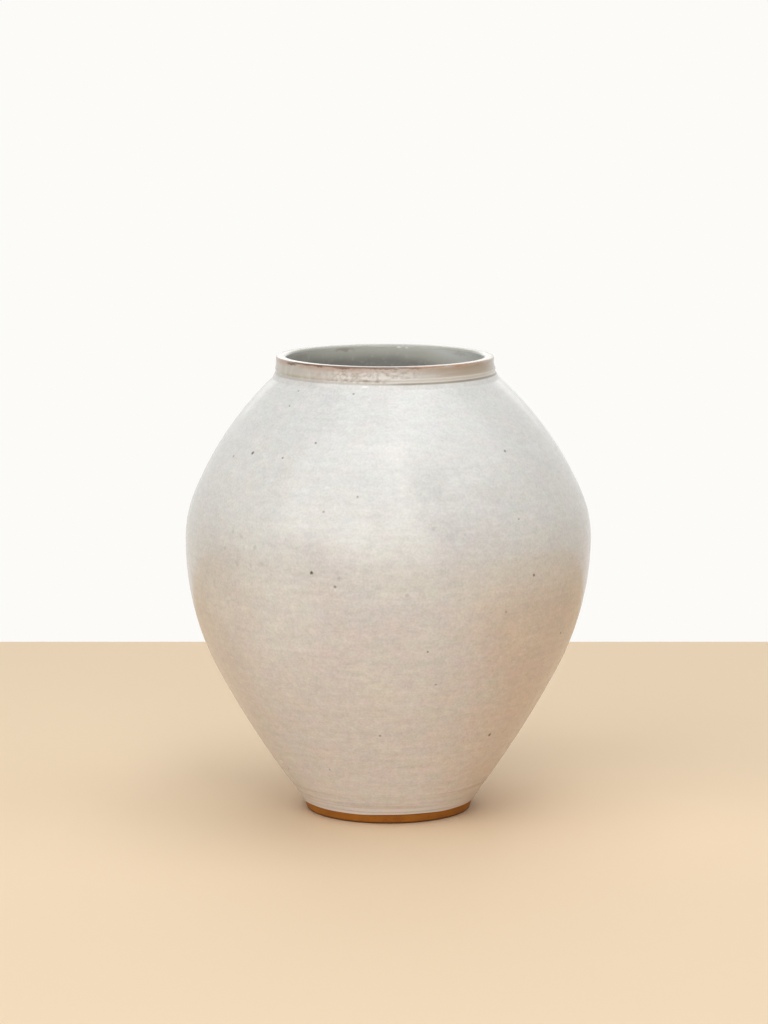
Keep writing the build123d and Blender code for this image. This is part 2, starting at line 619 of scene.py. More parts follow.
def tint(colour: Colour) -> tuple[float, float, float, float]:
    """A colour as the linear values that a shader takes.

    Args:
        colour: The colour as it is seen, with parts from 0 to 255.

    Returns:
        Its red, green and blue from 0 to 1, and a full cover.
    """
    parts = [part / 255 for part in colour]
    linear = [part / 12.92 if part <= 0.04045 else ((part + 0.055) / 1.055) ** 2.4 for part in parts]
    return (*linear, 1.0)


@dataclass(frozen=True)
class Grain:
    """A soft random pattern about 0.5: the size of its grains in millimetres, and its finer layers."""

    across: float
    upright: float
    layers: float = 2.0
    roughness: float = 0.5


@dataclass(frozen=True)
class Fade:
    """A smooth change from nothing at one value to a share at another, which may be the smaller.

    The values are those of a pattern, or places in millimetres.
    """

    start: float
    end: float
    share: float = 1.0


@dataclass(frozen=True)
class Mark:
    """A spot or patch on the glaze: its middle, how far it reaches each way, and how strongly it shows."""

    azimuth: float
    height: float
    half_width: float
    half_height: float
    strength: float


def speck(azimuth: float, height: float, radius: float, strength: float) -> Mark:
    """A round mark."""
    return Mark(azimuth, height, radius, radius, strength)


def outside_spots(throw: HandThrow, marks: Sequence[Mark]) -> list[Vector]:
    """The middles of marks on the outside of the jar, in metres."""
    radii = throw.form.radii_at([mark.height for mark in marks])
    return [throw.spot(mark.azimuth, mark.height, radius) for mark, radius in zip(marks, radii)]


def mouth_spots(throw: HandThrow, marks: Sequence[Mark]) -> list[Vector]:
    """The middles of marks in the mouth, in metres."""
    return [throw.spot(mark.azimuth, mark.height, throw.form.mouth_radius) for mark in marks]


@dataclass
class NodeSheet:
    """The nodes of one material, and how much of a mark's reach shows at full strength."""

    name: str
    mark_core: float = 0.3

    def __post_init__(self) -> None:
        """Starts an empty material."""
        self.material = bpy.data.materials.new(self.name)
        self.material.use_nodes = True
        self.tree = self.material.node_tree
        self.tree.nodes.clear()
        self.coordinates = self.add("ShaderNodeTexCoord").outputs["Object"]
        parts = self.add("ShaderNodeSeparateXYZ", {"Vector": self.coordinates})
        self.across, self.depth, self.height = parts.outputs

    def add(
        self, kind: str, inputs: dict[str | int, object] | None = None, **settings: object
    ) -> bpy.types.Node:
        """Adds one node.

        Args:
            kind: The node's type.
            inputs: Values, or sockets to link, by the name or number of the input.
            settings: Other properties of the node.

        Returns:
            The new node.
        """
        node = self.tree.nodes.new(kind)
        for name, value in settings.items():
            setattr(node, name, value)
        for name, value in (inputs or {}).items():
            if isinstance(value, bpy.types.NodeSocket):
                self.tree.links.new(value, node.inputs[name])
            else:
                node.inputs[name].default_value = value
        return node

    def stretched(self, across: float, upright: float) -> Socket:
        """Coordinates with one unit across the jar and another up it, in millimetres."""
        scale = (1 / (across * MM), 1 / (across * MM), 1 / (upright * MM))
        return self.add("ShaderNodeMapping", {"Vector": self.coordinates, "Scale": scale}).outputs["Vector"]

    def noise(self, grain: Grain) -> Socket:
        """The pattern of a grain.

        Args:
            grain: The grain.

        Returns:
            The pattern, about 0.5.
        """
        vector = self.stretched(grain.across, grain.upright)
        inputs = {"Vector": vector, "Scale": 1.0, "Detail": grain.layers, "Roughness": grain.roughness}
        return self.add("ShaderNodeTexNoise", inputs).outputs[0]

    def fade(self, value: Socket, fade: Fade, unit: float = 1.0, base: float = 0.0) -> Socket:
        """A pattern or a place taken through a fade.

        Args:
            value: The pattern, or the place in metres.
            fade: The fade.
            unit: The unit of the fade.
            base: The value that the fade counts from, in that unit.

        Returns:
            A value from 0 to the fade's share.
        """
        inputs = {
            "Value": value,
            "From Min": (base + fade.start) * unit,
            "From Max": (base + fade.end) * unit,
            "To Min": 0.0,
            "To Max": fade.share,
        }
        return self.add("ShaderNodeMapRange", inputs, interpolation_type="SMOOTHSTEP").outputs["Result"]

    def upwards(self, fade: Fade, base: float = 0.0, on: Socket | None = None) -> Socket:
        """A fade up the jar from a base in millimetres, on its height or a strayed one."""
        return self.fade(on or self.height, fade, MM, base)

    def rightwards(self, fade: Fade, on: Socket | None = None) -> Socket:
        """A fade across the jar towards +X, on the place across it or a strayed one."""
        return self.fade(on or self.across, fade, MM)

    def backwards(self, fade: Fade) -> Socket:
        """A fade from the front of the jar to its back, towards +Y."""
        return self.fade(self.depth, fade, MM)

    def spread(self, value: Socket, low: float, high: float) -> Socket:
        """A pattern from 0 to 1 as a value between two others."""
        inputs = {"Value": value, "From Min": 0.0, "From Max": 1.0, "To Min": low, "To Max": high}
        return self.add("ShaderNodeMapRange", inputs).outputs["Result"]

    def strayed(self, value: Socket, pattern: Socket, reach: float) -> Socket:
        """A length that strays by up to a reach in millimetres each way, by a pattern."""
        return self.plus(value, self.spread(pattern, -reach * MM, reach * MM))

    def combine(self, operation: str, first: Socket | float, second: Socket | float) -> Socket:
        """Two values joined by arithmetic."""
        return self.add("ShaderNodeMath", {0: first, 1: second}, operation=operation).outputs[0]

    def chain(self, operation: str, values: Sequence[Socket]) -> Socket:
        """Some values joined one after another by arithmetic.

        Args:
            operation: The kind of arithmetic.
            values: The values, at least one.

        Returns:
            The result.
        """
        result = values[0]
        for value in values[1:]:
            result = self.combine(operation, result, value)
        return result

    def plus(self, *values: Socket) -> Socket:
        """The sum of some values."""
        return self.chain("ADD", values)

    def times(self, *values: Socket) -> Socket:
        """The product of some values."""
        return self.chain("MULTIPLY", values)

    def gather(self, *patterns: tuple[Socket, float]) -> Socket:
        """Patterns about 0.5 added up, each by its own share, into one about 0.5.

        Args:
            patterns: Each pattern and its share.

        Returns:
            The sum, centred again.
        """
        total = 0.5 - sum(share for _, share in patterns) / 2
        for pattern, share in patterns:
            inputs = {0: pattern, 1: share, 2: total}
            total = self.add("ShaderNodeMath", inputs, operation="MULTIPLY_ADD").outputs[0]
        return total

    def blend(self, share: Socket, ground: Socket | Colour, over: Socket | Colour) -> Socket:
        """One colour over another, by a share.

        Args:
            share: How much of the second colour shows.
            ground: The colour below.
            over: The colour above.

        Returns:
            The mixed colour.
        """
        sides = [tint(side) if isinstance(side, tuple) else side for side in (ground, over)]
        inputs = {"Factor": share, 6: sides[0], 7: sides[1]}
        return self.add("ShaderNodeMix", inputs, data_type="RGBA").outputs[2]

    def stain(
        self, share: Socket, ground: Socket, less: Socket | Colour, more: Socket | Colour
    ) -> Socket:
        """A colour tinged by a stain that goes from one tinge to another.

        Args:
            share: How far the stain is from the first tinge to the second.
            ground: The colour below.
            less: The first tinge.
            more: The second.

        Returns:
            The stained colour.
        """
        inputs = {"Factor": 1.0, 6: ground, 7: self.blend(share, less, more)}
        return self.add("ShaderNodeMix", inputs, data_type="RGBA", blend_type="MULTIPLY").outputs[2]

    def marks(self, marks: Sequence[Mark], middles: Sequence[Vector], ragged: float) -> Socket:
        """How strongly any of some marks shows at each point.

        Args:
            marks: The marks.
            middles: The middle of each, in metres.
            ragged: How far their edges stray, in millimetres.

        Returns:
            A pattern from 0 to 1.
        """
        vector = self.stretched(2 * ragged, 2 * ragged)
        colour = self.add("ShaderNodeTexNoise", {"Vector": vector, "Scale": 1.0}).outputs[1]
        centred = self.add("ShaderNodeVectorMath", {0: colour, 1: (0.5, 0.5, 0.5)}, operation="SUBTRACT")
        reach = (2 * ragged * MM,) * 3
        inputs = {0: centred.outputs[0], 1: reach, 2: self.coordinates}
        strayed = self.add("ShaderNodeVectorMath", inputs, operation="MULTIPLY_ADD").outputs[0]
        spots = []
        for mark, middle in zip(marks, middles):
            size = (mark.half_width * MM, mark.half_width * MM, mark.half_height * MM)
            inputs = {"Vector": strayed, "Location": middle, "Scale": size}
            inside = self.add("ShaderNodeMapping", inputs, vector_type="TEXTURE").outputs[0]
            distance = self.add("ShaderNodeVectorMath", {0: inside}, operation="LENGTH").outputs["Value"]
            spots.append(self.fade(distance, Fade(1.0, self.mark_core, mark.strength)))
        return self.chain("MAXIMUM", spots)

    def dimples(self, pattern: Socket, strength: float, depth: float) -> Socket:
        """A bumped normal from a pattern, with its depth in millimetres."""
        inputs = {"Height": pattern, "Strength": strength, "Distance": depth * MM}
        return self.add("ShaderNodeBump", inputs).outputs["Normal"]

    def finish(self, surface: dict[str, object]) -> bpy.types.Material:
        """Closes the sheet with its one surface shader.

        Args:
            surface: Inputs of the shader by name.

        Returns:
            The material.
        """
        shader = self.add("ShaderNodeBsdfPrincipled", surface)
        self.add("ShaderNodeOutputMaterial", {"Surface": shader.outputs["BSDF"]})
        return self.material


# The white of glaze that lies thick along an edge, also used as the painted highlight on the crown of the
# lip
MILKY_GLAZE_AND_HIGHLIGHT: Colour = (238, 236, 231)

# Iron that has burnt through the glaze, on the side that faces the viewer
CLEAR_SPECKS = (
    speck(-21.2, 102.6, 0.95, 0.95),
    speck(-52.2, 141.8, 0.95, 0.85),
    speck(44.9, 35.7, 0.95, 0.85),
    speck(-14.6, 97.9, 0.75, 0.60),
    speck(-18.9, 124.4, 0.65, 0.50),
    speck(-9.1, 129.9, 0.65, 0.50),
    speck(-26.3, 147.4, 0.70, 0.70),
    speck(-37.5, 141.5, 0.65, 0.60),
    speck(-62.6, 139.4, 0.75, 0.55),
    speck(44.0, 99.0, 0.80, 0.75),
    speck(44.3, 143.3, 0.85, 0.65),
    speck(40.0, 120.0, 0.60, 0.45),
    speck(63.1, 73.3, 0.70, 0.60),
    speck(11.6, 73.4, 0.65, 0.60),
    speck(34.9, 86.5, 0.65, 0.45),
    speck(15.2, 60.1, 0.65, 0.45),
    speck(-2.9, 39.1, 0.70, 0.55),
    speck(-28.1, 22.9, 0.60, 0.50),
    speck(-59.6, 19.0, 0.65, 0.50),
    speck(-46.1, 158.7, 0.60, 0.55),
    speck(-46.6, 163.8, 0.60, 0.50),
    speck(-15.6, 164.1, 0.60, 0.55),
)

# Iron on that side that has stayed under the glaze and only clouds it
FAINT_SPECKS = (
    speck(-51.5, 107.8, 1.20, 0.16),
    speck(-45.0, 113.1, 1.20, 0.14),
    speck(-39.5, 109.9, 1.30, 0.18),
    speck(-46.0, 103.0, 1.30, 0.15),
    speck(-48.7, 114.2, 1.10, 0.14),
    speck(-40.9, 103.1, 1.10, 0.12),
    speck(-37.0, 104.2, 1.10, 0.12),
    speck(-13.4, 101.0, 1.20, 0.18),
    speck(5.1, 95.1, 1.10, 0.20),
    speck(12.6, 118.9, 1.10, 0.16),
)

# Guessed specks round the sides and the back
REAR_SPECKS = (
    speck(168.0, 121.0, 0.90, 0.75),
    speck(-152.0, 88.0, 0.80, 0.65),
    speck(140.0, 70.0, 0.75, 0.55),
    speck(-118.0, 137.0, 0.85, 0.65),
    speck(112.0, 108.0, 0.80, 0.60),
    speck(-172.0, 48.0, 0.70, 0.55),
    speck(128.0, 146.0, 0.70, 0.55),
    speck(-98.0, 64.0, 0.75, 0.55),
)

IRON_SPECKS = CLEAR_SPECKS + FAINT_SPECKS + REAR_SPECKS

# Painted glints of light just under the collar
COLLAR_GLINTS = (
    Mark(-10.5, 166.6, 2.1, 0.6, 1.0),
    Mark(-3.0, 166.7, 1.2, 0.40, 0.60),
)

# Where iron stains the edge of the lip
LIP_STAINS = (
    Mark(-58.0, 172.95, 5.2, 0.75, 0.85),
    Mark(-36.0, 173.3, 3.0, 0.45, 0.70),
    Mark(-22.0, 173.2, 4.0, 0.55, 0.75),
    Mark(2.0, 173.35, 6.0, 0.45, 0.80),
    Mark(16.0, 173.3, 3.0, 0.50, 0.70),
    Mark(58.0, 172.9, 5.0, 0.50, 0.45),
)

# Where the lining has browned near the mouth
LINING_STAINS = (
    Mark(-155.0, 172.4, 5.5, 1.1, 0.40),
    Mark(-120.0, 171.2, 7.0, 1.2, 0.15),
    Mark(130.0, 171.8, 6.0, 0.9, 0.18),
)

# Painted glints of light on the inner edge of the lip at the back
LINING_GLINTS = (
    Mark(171.6, 172.9, 1.3, 0.5, 1.0),
    Mark(167.0, 172.75, 1.0, 0.45, 0.95),
)


@dataclass(frozen=True)
class TwoTone:
    """A colour of the glaze above the belly, and what it turns to below it."""

    above: Colour
    below: Colour


@dataclass(frozen=True)
class WallPaint:
    """The glaze of the wall, milky where it is thick, greyer where it is thin and warmer low down.

    Heights are counted from the floor, but those of the lower half and of the painted floor reflection from
    the belly.
    """

    form: JarForm
    thick: TwoTone = TwoTone((249, 250, 251), (250, 245, 250))
    thin: TwoTone = TwoTone((213, 214, 215), (211, 206, 211))
    green: TwoTone = TwoTone((249, 255, 250), (240, 255, 245))
    pink: TwoTone = TwoTone((255, 248, 253), (255, 242, 251))
    cool: TwoTone = TwoTone((248, 253, 255), (243, 250, 255))
    warm: TwoTone = TwoTone((255, 252, 245), (255, 250, 238))
    dark_line: Colour = (196, 178, 162)
    pale_line: Colour = MILKY_GLAZE_AND_HIGHLIGHT
    untinged: Colour = (255, 255, 255)
    # Painted reflection of the warm floor, low on the sides of the belly
    floor_reflection: Colour = (250, 236, 224)
    cloud: Grain = Grain(34.0, 34.0, 3.0)
    patch: Grain = Grain(10.0, 7.0, 4.0, 0.7)
    tinge: Grain = Grain(7.0, 5.0, 4.0, 0.7)
    fine: Grain = Grain(0.9, 0.9, 2.0, 0.6)
    mottle: Grain = Grain(3.4, 2.0)
    brushed: Grain = Grain(44.0, 1.9, 3.0, 0.62)
    streaks: Grain = Grain(30.0, 1.7, 3.0, 0.6)
    lines: Grain = Grain(80.0, 1.4, 1.0)
    fine_share: float = 1.0
    mottle_share: float = 0.7
    patch_share: float = 0.1
    brushed_share: float = 0.42
    cloud_share: float = 0.25
    streak_strength: float = 0.9
    foot: Fade = Fade(24.0, 0.0)
    foot_roll: Fade = Fade(10.0, 3.0, 0.36)
    foot_pool: Fade = Fade(34.0, 2.0, 0.28)
    dark_lines: Fade = Fade(0.52, 0.70, 0.5)
    pale_lines: Fade = Fade(0.46, 0.30, 0.7)
    # Painted sheen: the glaze is whitened at the sides of the shoulder, where they catch light
    sheen_sides: Fade = Fade(20.0, 62.0)
    sheen_rise: Fade = Fade(103.0, 153.0, 0.22)
    lower_half: Fade = Fade(28.0, -56.0)
    cloud_stray: float = 60.0
    patch_stray: float = 24.0
    reflection_right: Fade = Fade(14.0, 50.0)
    reflection_left: Fade = Fade(-34.0, -70.0, 0.4)
    reflection_fall: Fade = Fade(10.0, -26.0)
    reflection_stray: float = 16.0

    def thickness(self, sheet: NodeSheet, cloud: Socket, patch: Socket) -> Socket:
        """How thickly the glaze lies, with a painted sheen that whitens the sides of the shoulder.

        Args:
            sheet: The material's nodes.
            cloud: The wide pattern of the wall.
            patch: Its patches.

        Returns:
            A pattern that is 0 where the glaze is thin and 1 where it is thick.
        """
        mixed = sheet.gather(
            (sheet.noise(self.fine), self.fine_share),
            (sheet.noise(self.mottle), self.mottle_share),
            (patch, self.patch_share),
            (sheet.noise(self.brushed), self.brushed_share),
            (cloud, self.cloud_share),
        )
        streaks = sheet.spread(sheet.noise(self.streaks), -self.streak_strength, self.streak_strength)
        aside = sheet.combine("ABSOLUTE", sheet.across, 0.0)
        return sheet.plus(
            mixed,
            sheet.times(sheet.upwards(self.foot), streaks),
            sheet.upwards(self.foot_roll),
            sheet.upwards(self.foot_pool),
            # painted sheen at the sides of the shoulder
            sheet.times(sheet.rightwards(self.sheen_sides, aside), sheet.upwards(self.sheen_rise)),
        )

    def reflected_floor(self, sheet: NodeSheet, cloud: Socket) -> Socket:
        """Where a warm reflection of the floor is painted on, low on both sides and most on the right.

        Args:
            sheet: The material's nodes.
            cloud: The wide pattern of the wall.

        Returns:
            How strongly the painted reflection shows.
        """
        side = sheet.strayed(sheet.across, cloud, self.reflection_stray)
        sides = sheet.plus(sheet.rightwards(self.reflection_right, side), sheet.rightwards(self.reflection_left, side))
        return sheet.times(sides, sheet.upwards(self.reflection_fall, self.form.belly_height))

    def colour(self, sheet: NodeSheet) -> Socket:
        """The colour of the wall.

        Args:
            sheet: The material's nodes.

        Returns:
            The colour, before the collar and the specks.
        """
        cloud = sheet.noise(self.cloud)
        patch = sheet.noise(self.patch)
        lines = sheet.noise(self.lines)
        foot = sheet.upwards(self.foot)
        wander = sheet.strayed(sheet.strayed(sheet.height, cloud, self.cloud_stray), patch, self.patch_stray)
        low = sheet.upwards(self.lower_half, self.form.belly_height, wander)
        tones = (self.thin, self.thick, self.green, self.pink, self.cool, self.warm)
        thin, thick, green, pink, cool, warm = (sheet.blend(low, tone.above, tone.below) for tone in tones)
        colour = sheet.blend(self.thickness(sheet, cloud, patch), thin, thick)
        colour = sheet.blend(sheet.times(foot, sheet.fade(lines, self.dark_lines)), colour, self.dark_line)
        colour = sheet.blend(sheet.times(foot, sheet.fade(lines, self.pale_lines)), colour, self.pale_line)
        colour = sheet.stain(sheet.noise(self.tinge), colour, green, pink)
        colour = sheet.stain(patch, colour, cool, warm)
        # painted reflection: the lower sides are warmed as if they mirrored the floor
        return sheet.stain(self.reflected_floor(sheet, cloud), colour, self.untinged, self.floor_reflection)


@dataclass(frozen=True)
class CollarPaint:
    """The thin coat on the collar: grey and pink to the left, crackled in front and tan to the right.

    Heights are counted from the groove under the collar, but that of the blush from the crest of the lip.
    """

    throw: HandThrow
    grey: Colour = (202, 199, 190)
    pink: Colour = (207, 202, 197)
    tan: Colour = (187, 171, 152)
    brown: Colour = (158, 138, 116)
    blush: Colour = (190, 156, 138)
    # Painted highlight along the ridge at the foot of the collar and on its ribs
    ridge_highlight: Colour = (236, 235, 231)
    # Painted shade in the groove under the collar, partly pooled olive glaze
    groove_shade: Colour = (138, 126, 106)
    # Colour of the painted glints under the collar
    drop: Colour = (249, 250, 251)
    drift: Grain = Grain(16.0, 16.0, 3.0)
    crawl: Grain = Grain(2.4, 1.3, 3.0, 0.6)
    runs: Grain = Grain(2.4, 8.0)
    crackle: Grain = Grain(1.5, 1.0)
    ribs: Grain = Grain(44.0, 0.8)
    side_stray: float = 14.0
    pink_side: Fade = Fade(-42.0, -26.0)
    tan_side: Fade = Fade(4.0, 30.0)
    grey_end: Fade = Fade(36.0, 40.0, 0.8)
    left: Fade = Fade(2.0, -14.0)
    thick_runs: Fade = Fade(0.46, 0.74, 0.35)
    blotches: Fade = Fade(0.48, 0.66, 0.35)
    blotch_end: Fade = Fade(-35.0, -27.0)
    blotch_rise: Fade = Fade(0.8, 2.4)
    crackle_left: Fade = Fade(-26.0, -16.0)
    crackle_right: Fade = Fade(16.0, 4.0)
    pools: Fade = Fade(0.48, 0.62, 0.6)
    pool_top: Fade = Fade(5.0, 3.0)
    cracks: Fade = Fade(0.46, 0.32, 0.5)
    rib_side: Fade = Fade(0.0, 16.0)
    rib_highlights: Fade = Fade(0.52, 0.64, 0.35)
    thin_spots: Fade = Fade(0.44, 0.22, 0.5)
    blush_rise: Fade = Fade(-3.1, -0.5)
    blush_patches: Fade = Fade(0.28, 0.52, 0.85)
    blush_end: Fade = Fade(34.0, 18.0)
    blush_shares: tuple[float, float] = (0.4, 1.0)
    coat_rise: Fade = Fade(-0.5, 0.1, 0.96)
    ridge_foot: Fade = Fade(-0.25, 0.25)
    ridge_top: Fade = Fade(1.75, 1.25)
    ridge_side: Fade = Fade(-8.0, 8.0, 0.95)
    groove_foot: Fade = Fade(-1.0, -0.6)
    groove_top: Fade = Fade(0.1, -0.3)
    groove_side: Fade = Fade(-14.0, 10.0)
    groove_shares: tuple[float, float] = (0.35, 0.8)
    glint_ragged: float = 0.3

    def coat(self, sheet: NodeSheet, drift: Socket, side: Socket) -> Socket:
        """The colour of the thin coat.

        Args:
            sheet: The material's nodes.
            drift: The wide pattern of the collar.
            side: The place across the jar, strayed by it.

        Returns:
            The colour, before the ridge and the groove.
        """
        groove = self.throw.form.groove_height
        crawl = sheet.noise(self.crawl)
        crackle = sheet.noise(self.crackle)
        left = sheet.rightwards(self.left)
        colour = sheet.blend(sheet.rightwards(self.pink_side, side), self.grey, self.pink)
        colour = sheet.blend(sheet.rightwards(self.tan_side, side), colour, self.tan)
        colour = sheet.blend(sheet.rightwards(self.grey_end), colour, self.grey)
        runs = sheet.times(left, sheet.fade(sheet.noise(self.runs), self.thick_runs))
        colour = sheet.blend(runs, colour, MILKY_GLAZE_AND_HIGHLIGHT)
        blotch = sheet.times(sheet.fade(crawl, self.blotches), left, sheet.rightwards(self.blotch_end))
        blotch = sheet.times(blotch, sheet.upwards(self.blotch_rise, groove))
        colour = sheet.blend(blotch, colour, self.blush)
        middle = sheet.times(sheet.rightwards(self.crackle_left), sheet.rightwards(self.crackle_right))
        pools = sheet.times(middle, sheet.fade(crackle, self.pools), sheet.upwards(self.pool_top, groove))
        colour = sheet.blend(pools, colour, MILKY_GLAZE_AND_HIGHLIGHT)
        cracks = sheet.times(middle, sheet.fade(crackle, self.cracks))
        colour = sheet.blend(cracks, colour, self.brown)
        # painted highlights on the ribs to the right
        ribs = sheet.times(
            sheet.rightwards(self.rib_side), sheet.fade(sheet.noise(self.ribs), self.rib_highlights)
        )
        colour = sheet.blend(ribs, colour, self.ridge_highlight)
        colour = sheet.blend(sheet.fade(crawl, self.thin_spots), colour, self.tan)
        blush = sheet.times(
            sheet.upwards(self.blush_rise, self.throw.form.jar_height),
            sheet.fade(drift, self.blush_patches),
            sheet.spread(left, *self.blush_shares),
            sheet.rightwards(self.blush_end),
        )
        return sheet.blend(blush, colour, self.blush)

    def over(self, sheet: NodeSheet, colour: Socket) -> Socket:
        """The collar with its painted ridge highlight, groove shade and glints, over the colour of the wall.

        Args:
            sheet: The material's nodes.
            colour: The colour of the wall.

        Returns:
            The colour of wall and collar.
        """
        groove = self.throw.form.groove_height
        drift = sheet.noise(self.drift)
        side = sheet.strayed(sheet.across, drift, self.side_stray)
        colour = sheet.blend(sheet.upwards(self.coat_rise, groove), colour, self.coat(sheet, drift, side))
        # painted highlight along the ridge, strongest to the right
        ridge = sheet.times(sheet.upwards(self.ridge_foot, groove), sheet.upwards(self.ridge_top, groove))
        ridge = sheet.times(ridge, sheet.rightwards(self.ridge_side, side))
        colour = sheet.blend(ridge, colour, self.ridge_highlight)
        # painted shade in the groove, partly pooled glaze, stronger to the right
        cut = sheet.times(sheet.upwards(self.groove_foot, groove), sheet.upwards(self.groove_top, groove))
        cut = sheet.times(cut, sheet.spread(sheet.rightwards(self.groove_side, side), *self.groove_shares))
        colour = sheet.blend(cut, colour, self.groove_shade)
        # painted glints just under the collar
        glints = sheet.marks(COLLAR_GLINTS, outside_spots(self.throw, COLLAR_GLINTS), self.glint_ragged)
        return sheet.blend(glints, colour, self.drop)


@dataclass(frozen=True)
class LipPaint:
    """The broken line of iron along the edge of the lip, and the crown, painted white as a highlight in
    front and grey behind.

    Heights are counted from the crest of the lip.
    """

    throw: HandThrow
    iron_dark: Colour = (112, 80, 55)
    iron_rust: Colour = (184, 141, 112)
    # Painted highlight on the crown of the lip, on the side that faces the viewer
    front: Colour = MILKY_GLAZE_AND_HIGHLIGHT
    back: Colour = (158, 156, 144)
    broken: Grain = Grain(7.0, 2.0, 4.0, 0.6)
    rust_side: Fade = Fade(2.0, 24.0)
    rust_stray: float = 20.0
    line_rise: Fade = Fade(-1.15, -0.55)
    line_stray: float = 0.75
    line_left: Fade = Fade(-38.0, -34.0)
    line_right: Fade = Fade(41.0, 30.0)
    line_breaks: Fade = Fade(0.18, 0.42, 0.95)
    stain_ragged: float = 0.5
    crown_rise: Fade = Fade(-0.3, -0.14, 0.95)
    crown_back: Fade = Fade(4.0, 20.0)

    def over(self, sheet: NodeSheet, colour: Socket) -> Socket:
        """The lip, over the colour of the collar.

        Args:
            sheet: The material's nodes.
            colour: The colour of wall and collar.

        Returns:
            The colour of the whole outside, before the specks.
        """
        crest = self.throw.form.jar_height
        broken = sheet.noise(self.broken)
        rusty = sheet.rightwards(self.rust_side, sheet.strayed(sheet.across, broken, self.rust_stray))
        iron = sheet.blend(rusty, self.iron_dark, self.iron_rust)
        line = sheet.times(
            sheet.upwards(self.line_rise, crest, sheet.strayed(sheet.height, broken, self.line_stray)),
            sheet.rightwards(self.line_left),
            sheet.rightwards(self.line_right),
            sheet.fade(broken, self.line_breaks),
        )
        colour = sheet.blend(line, colour, iron)
        stains = sheet.marks(LIP_STAINS, outside_spots(self.throw, LIP_STAINS), self.stain_ragged)
        colour = sheet.blend(stains, colour, iron)
        # painted highlight on the crown in front, grey behind
        crown = sheet.blend(sheet.backwards(self.crown_back), self.front, self.back)
        return sheet.blend(sheet.upwards(self.crown_rise, crest), colour, crown)


@dataclass(frozen=True)
class WhiteGlaze:
    """The satin white glaze outside, with its iron specks and a thin clear gloss."""

    throw: HandThrow
    speck_brown: Colour = (68, 56, 46)
    speck_ragged: float = 0.3
    satin: Grain = Grain(14.0, 5.0, 3.0)
    skin: Grain = Grain(1.6, 1.6, 3.0)
    roughness: tuple[float, float] = (0.20, 0.30)
    dimple_strength: float = 0.1
    dimple_depth: float = 0.05
    gloss_weight: float = 0.3
    gloss_roughness: float = 0.13

    def material(self) -> bpy.types.Material:
        """The finished glaze.

        Returns:
            Its material.
        """
        sheet = NodeSheet("white_glaze")
        colour = WallPaint(self.throw.form).colour(sheet)
        colour = CollarPaint(self.throw).over(sheet, colour)
        colour = LipPaint(self.throw).over(sheet, colour)
        specks = sheet.marks(IRON_SPECKS, outside_spots(self.throw, IRON_SPECKS), self.speck_ragged)
        return sheet.finish({
            "Base Color": sheet.blend(specks, colour, self.speck_brown),
            "Roughness": sheet.spread(sheet.noise(self.satin), *self.roughness),
            "Normal": sheet.dimples(sheet.noise(self.skin), self.dimple_strength, self.dimple_depth),
            "Coat Weight": self.gloss_weight,
            "Coat Roughness": self.gloss_roughness,
        })


